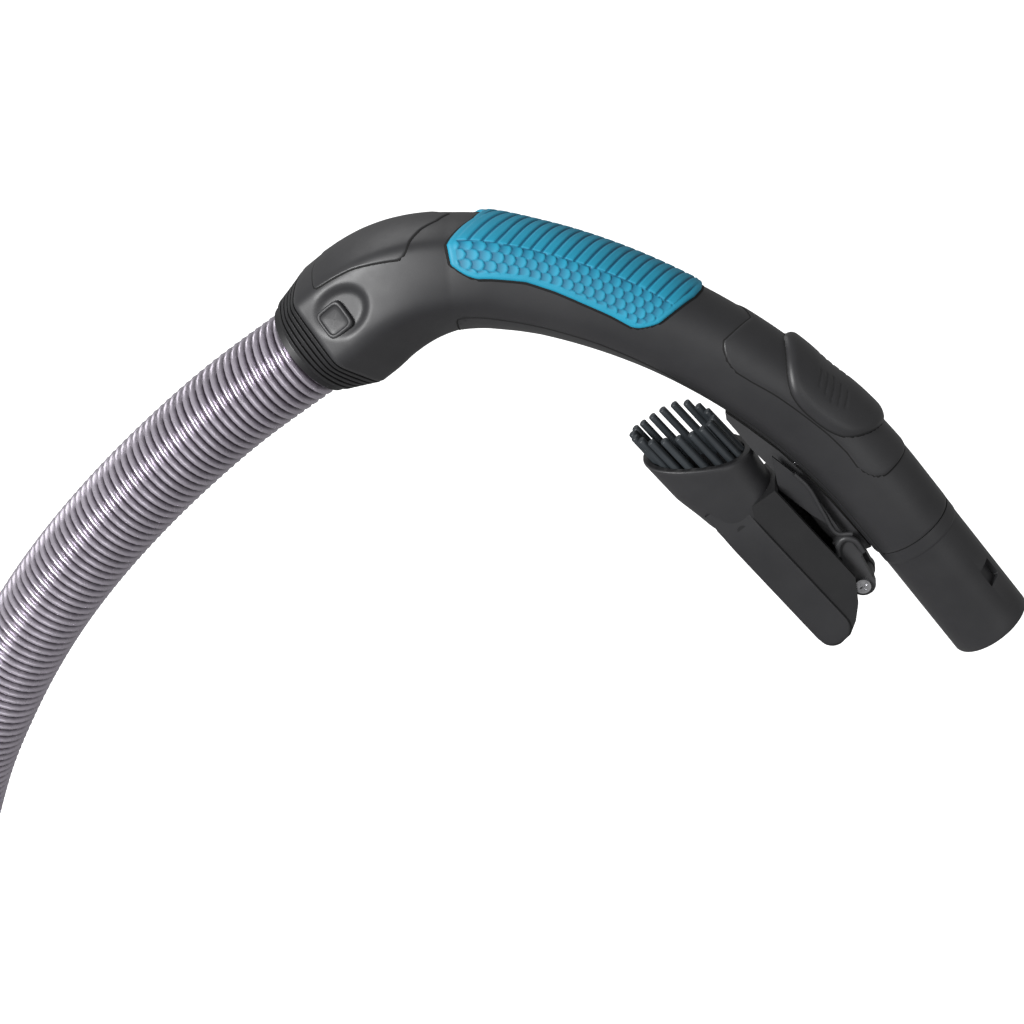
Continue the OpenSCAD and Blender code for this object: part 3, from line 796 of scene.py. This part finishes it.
def make_spigot():
    """Wand tube: rounded open end, two opposite latch windows, a faint step near the shell."""
    sides, window_half = 180, 14
    profile = [(SPIGOT_LEN + 20, SPIGOT_BORE_R), (2.0, SPIGOT_BORE_R), (0.4, SPIGOT_BORE_R),
               (0, SPIGOT_BORE_R + 0.5), (0, SPIGOT_R - 0.6), (0.2, SPIGOT_R - 0.15), (0.6, SPIGOT_R)]
    profile += [(s, SPIGOT_R) for s in
                (4, 8, 12.5, WINDOW_FROM, WINDOW_TO, 36, 42, 48, 54, 54.4)]
    profile += [(54.7, SPIGOT_R + 0.25), (55.2, SPIGOT_R + 0.3), (SPIGOT_LEN + 0.6, SPIGOT_R + 0.3)]
    place = frame_at(0)

    def at(s, r, a):
        return place @ (Vector((s, r * math.cos(a), r * math.sin(a))) * MM)

    rings = [[at(s, r, TAU * j / sides) for j in range(sides)] for s, r in profile]
    verts, faces = sew(rings, closed=True)
    start = next(i for i, (s, r) in enumerate(profile) if s == WINDOW_FROM)
    kept, walls = [], []
    for k, face in enumerate(faces):
        ring, j = divmod(k, sides)
        a = 360 * (j + 0.5) / sides
        off = min(abs(a - WINDOW_A), abs(a - WINDOW_A - 180))
        if ring != start or off > window_half:
            kept.append(face)
    # walls of the windows and, below, the dark wall behind them: a near-black sleeve inside the bore that is
    # painted shade
    for side in (WINDOW_A, WINDOW_A + 180):
        corners = [(WINDOW_FROM, -1), (WINDOW_FROM, 1), (WINDOW_TO, 1), (WINDOW_TO, -1)]
        outline = []
        for (s0, w0), (s1, w1) in zip(corners, corners[1:] + corners[:1]):
            outline += [(mix(s0, s1, k / 14), math.radians(side + window_half * mix(w0, w1, k / 14)))
                        for k in range(14)]
        loops = [[at(s, r, a) for s, a in outline] for r in (SPIGOT_R, SPIGOT_R - 0.5, SPIGOT_BORE_R)]
        walls.append(sew(loops, closed=True))
    for part, quads in walls:
        kept += [tuple(q + len(verts) for q in quad) for quad in quads]
        verts += part
    piece("wand_spigot_skin", verts, kept, DARK, "root", ("wand_tube",))
    # near-black sleeve inside the bore behind the windows: painted shade
    bore_shade_profile = [(WINDOW_TO + 6, SPIGOT_BORE_R - 0.5), (WINDOW_FROM - 4, SPIGOT_BORE_R - 0.5),
             (WINDOW_FROM - 4.5, SPIGOT_BORE_R - 0.1)]
    turned("spigot_bore_shade", place, bore_shade_profile, SEAM, sides=96)


# ---- brush

TOOL_TILT = math.radians(3.6)
PIVOT_AT, PIVOT_DROP = 51, 31
TUFTS = 18
RING_WIDE, RING_TALL = 12.3, 15.2
TIP_LEN = 0.7
BAND_FROM, BAND_Z, BAND_HALF = -5, -21, 8
BAND_TOP = 16.6
CUP_WIDE = [(54, 15.0), (58, 15.4), (62, 15.8), (70, 16.2), (78, 16.6), (82, 16.9), (110, 16.9)]
CUP_TALL = [(54, 12.2), (58, 15.0), (62, 16.4), (70, 17.4), (78, 18.8), (82, 19.3), (110, 19.3)]
CUP_MID, RIM_MID = -17, 90.5
RIM_SLOPE = math.tan(math.radians(33))


def tool_place():
    """Matrix of the brush: x towards the bristles, y near side, z towards the tube."""
    c, s = math.cos(TOOL_TILT), math.sin(TOOL_TILT)
    m = Matrix((row(c, 0, -s), row(0, 1, 0), row(s, 0, c))).transposed().to_4x4()
    m.translation = row(PIVOT_AT, 0, -PIVOT_DROP) * MM
    return m


def make_bristles():
    """Blunt rubbery fingers in an oval ring, a little splayed, longer on the far side."""
    place = tool_place()
    verts, faces = [], []
    sides, steps, tip_steps = 14, 12, 4
    for i in range(TUFTS):
        a = TAU * i / TUFTS
        y, z = RING_WIDE * math.sin(a), RING_TALL * math.cos(a)
        x0 = max(79, RIM_MID - z * RIM_SLOPE - 8)
        x1 = 107 - z / 2 + 5 * max(0, -math.sin(a)) * step(-14, 8, z)
        lean = 0.35 * math.sin(i * 2.4)
        rings = []
        for k in range(steps + 1):
            t = k / steps
            stem = min(1.0, k / (steps - tip_steps))
            past = math.pi / 2 * max(0, k - steps + tip_steps) / tip_steps
            x = mix(x0, x1 - TIP_LEN, stem) + TIP_LEN * math.sin(past)
            r = mix(1.95, 1.8, t) - TIP_LEN * (1 - math.cos(past))
            cy, cz = y + lean * t * t, CUP_MID + z + 0.25 * math.cos(i * 1.7) * t * t
            rings.append([place @ (Vector((x, cy + r * math.cos(TAU * j / sides) * 1.1,
                                           cz + r * math.sin(TAU * j / sides) * 0.9)) * MM)
                          for j in range(sides)])
        part, quads = sew(rings, closed=True)
        cap = tuple(len(verts) + steps * sides + j for j in range(sides))
        faces += [tuple(len(verts) + q for q in quad) for quad in quads] + [cap]
        verts += part
    piece("bristle_ring", verts, faces, BRISTLE, "tool", ("bristles",))


def cup_ring(place, t, inset, below):
    """Oval ring of the bristle cup: t from its neck (0) to its slanted rim (1), inset into the
    wall and set below the rim (mm)."""
    sides, power, neck = 120, 2.4, 54
    ring = []
    for j in range(sides):
        a = TAU * j / sides
        x = 70.0
        for _ in range(6):
            wide, tall = lookup(x, CUP_WIDE) - inset, lookup(x, CUP_TALL) - inset
            r = (abs(math.cos(a) / wide) ** power + abs(math.sin(a) / tall) ** power) ** (-1 / power)
            z = r * math.sin(a)
            x = mix(neck, RIM_MID - z * RIM_SLOPE - below, t)
        ring.append(place @ (Vector((x, r * math.cos(a), CUP_MID + z)) * MM))
    return ring


def make_cup():
    """Flared cup that holds the bristle ring, with a rounded slanted rim and an inner wall."""
    place = tool_place()
    rings = [cup_ring(place, k / 24, 0, 0.9) for k in range(25)]
    rings += [cup_ring(place, 1, inset, below) for inset, below in
              ((0.12, 0.4), (0.45, 0.1), (0.9, 0), (1.35, 0.1), (1.7, 0.4), (1.85, 0.9), (2.0, 5), (2.1, 9))]
    verts, faces = sew(rings, closed=True)
    piece("bristle_cup", verts, faces, DARK, "tool")


def make_band(side):
    """Raised band along the low edge of the brush, with a round free end, run out into the cup."""
    place = tool_place()
    far, steps = 70, 20
    rings = []
    for inset, drop in ((0, 2.6), (0, 0.9), (0.1, 0.5), (0.35, 0.2), (0.8, 0.03), (1.4, 0)):
        r = BAND_HALF - inset
        upper = [(mix(far, BAND_FROM, k / steps), r) for k in range(steps)]
        tip = [(BAND_FROM - r * math.sin(math.pi * k / steps), r * math.cos(math.pi * k / steps))
               for k in range(steps + 1)]
        outline = upper + tip + [(x, -z) for x, z in reversed(upper)]
        ring = []
        for x, z in outline:
            y = BAND_TOP - 1.9 * step(48, far, x) - drop
            ring.append(place @ (Vector((x, side * y, BAND_Z + z)) * MM))
        rings.append(ring)
    verts, faces = sew(rings, flip=side < 0)
    n = len(rings[0])
    first = len(verts) - n
    for k in range(n // 2 - 1):
        quad = (first + k, first + k + 1, first + n - 2 - k, first + n - 1 - k)
        faces.append(quad if side > 0 else quad[::-1])
    name = "brush_band_near" if side > 0 else "brush_band_far"
    piece(name, verts, faces, DARK, "tool")


def side_plate(name, outline, y0, y1, width=0.25):
    """Flat plate of the bracket between y0 and y1 (mm), outlined in x and z of the spigot's frame."""
    place = frame_at(0)
    rings = [[place @ (Vector((x, y, z)) * MM) for x, z in outline] for y in (y0, y1)]
    n = len(outline)
    verts, faces = sew(rings, closed=True)
    faces += [tuple(reversed(range(n))), tuple(range(n, 2 * n))]
    obj = piece(name, verts, faces, DARK)
    obj.data.polygons.foreach_set("use_smooth", [False] * len(obj.data.polygons))
    bevel(obj, width, 2)


def bar(name, route, y, radius):
    """Moulded rib of the bracket, of round section, along a route in x and z of the spigot's frame."""
    place = frame_at(0)
    line, _ = resample(spline([Vector((x, y, z)) for x, z in route], 10), 0.7)
    sweep(name, [place @ (p * MM) for p in line], radius, DARK, sides=12)


WEB = [(124, -26.6), (105, -22.2), (77.4, -23.7), (91.3, -29.2), (109.5, -33.4)]
RIB_ROUTE = [(112, -23.6), (102.7, -22.6), (90, -24.4), (79, -25.7), (74.4, -20.4)]
HOOK_ROUTE = [(69, -31.4), (73, -28.6), (74.4, -24.6), (71, -21.4), (64.6, -21.4)]


def make_bracket_detail():
    """Web, ribs and hooks of the bracket that the brush parks against, between tube and brush."""
    side_plate("bracket_web", WEB, 7, 8.4)
    for name, y in (("near", 8.6), ("far", -8.6)):
        bar("bracket_rib_" + name, RIB_ROUTE, y, 0.9)
        bar("bracket_hook_" + name, HOOK_ROUTE, y, 1.4)


def make_brush():
    # the brush body and its screw take SHADE, the darker copy of the plastic: painted shade on the brush's
    # recessed side
    for name, material, width in (
            ("tool_bracket", DARK, 0.5), ("tool_cradle", DARK, 0.4), ("cradle_latch", DARK, 0.25),
            ("tool_body", SHADE, 0.7), ("bristle_holder", BLACK, 0.3), ("bracket_screws", STEEL, 0.2),
            ("pivot_nut", STEEL, 0.2), ("pivot_screw", STEEL, 0.2), ("tool_screw", SHADE, 0.2)):
        dress(name, material, width)
    make_bristles()
    make_cup()
    for side in (1, -1):
        make_band(side)
    make_bracket_detail()


def make_hose_fittings():
    for name, material, width in (
            ("hose_tie", RUBBER, 0.3), ("machine_connector", BLACK, 0.5), ("connector_seal", RUBBER, 0.0),
            ("swivel_cuff", BLACK, 0.3), ("retaining_ring", STEEL, 0.1), ("cuff_seal", RUBBER, 0.2),
            ("air_duct", BLACK, 0.0), ("shell_screws", STEEL, 0.1), ("button_spring_near", STEEL, 0.05),
            ("button_spring_far", STEEL, 0.05)):
        dress(name, material, width)


make_camera()
studio()
hose, hose_path, hose_length = make_hose()
make_shell()
make_strip()
strip_seams()
make_cover()
make_pad()
make_slider()
make_collar()
for button_side in (1, -1):
    make_button(button_side)
make_spigot()
make_brush()
make_hose_fittings()
